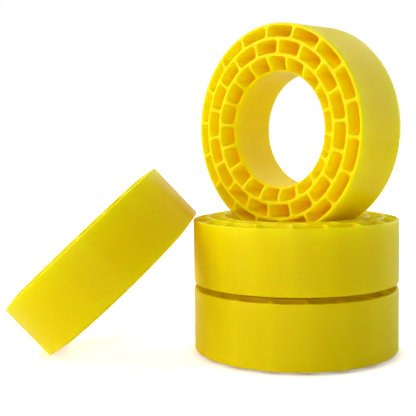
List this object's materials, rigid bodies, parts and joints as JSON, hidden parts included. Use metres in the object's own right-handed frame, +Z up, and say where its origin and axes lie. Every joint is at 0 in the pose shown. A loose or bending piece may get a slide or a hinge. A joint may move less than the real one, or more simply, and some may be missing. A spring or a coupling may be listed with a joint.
{
  "type": "tyre insert set",
  "caption": "Set of soft silicone tyre inserts: thick rings with a plain tread, a plain dished bore and staggered rows of cells between them, stacked flat, stood up and leaned together.",
  "frame": {"origin": "on the floor under the middle of the set's length and width", "axes": "+X along the set from the leaning ring to the stack, +Y away from the side the picture was taken from, +Z up"},
  "size_m": [0.2015, 0.105, 0.166],
  "materials": {
    "yellow_silicone": "smooth semi-gloss moulded silicone"
  },
  "bodies": {
    "lower_ring": {"lower_ring": "yellow_silicone"},
    "upper_ring": {"upper_ring": "yellow_silicone"},
    "standing_ring": {"standing_ring": "yellow_silicone"},
    "leaning_ring": {"leaning_ring": "yellow_silicone"}
  },
  "joints": [
    {"name": "upper_ring_lift", "type": "slide", "parent": "lower_ring", "child": "upper_ring", "axis": [0, 0, 1], "range_m": [0, 0.08]},
    {"name": "standing_ring_lift", "type": "slide", "parent": "upper_ring", "child": "standing_ring", "axis": [0, 0, 1], "range_m": [0, 0.08]},
    {"name": "leaning_ring_lift", "type": "slide", "parent": "upper_ring", "child": "leaning_ring", "axis": [-0.6807, 0, 0.7325], "range_m": [0, 0.08]}
  ]
}
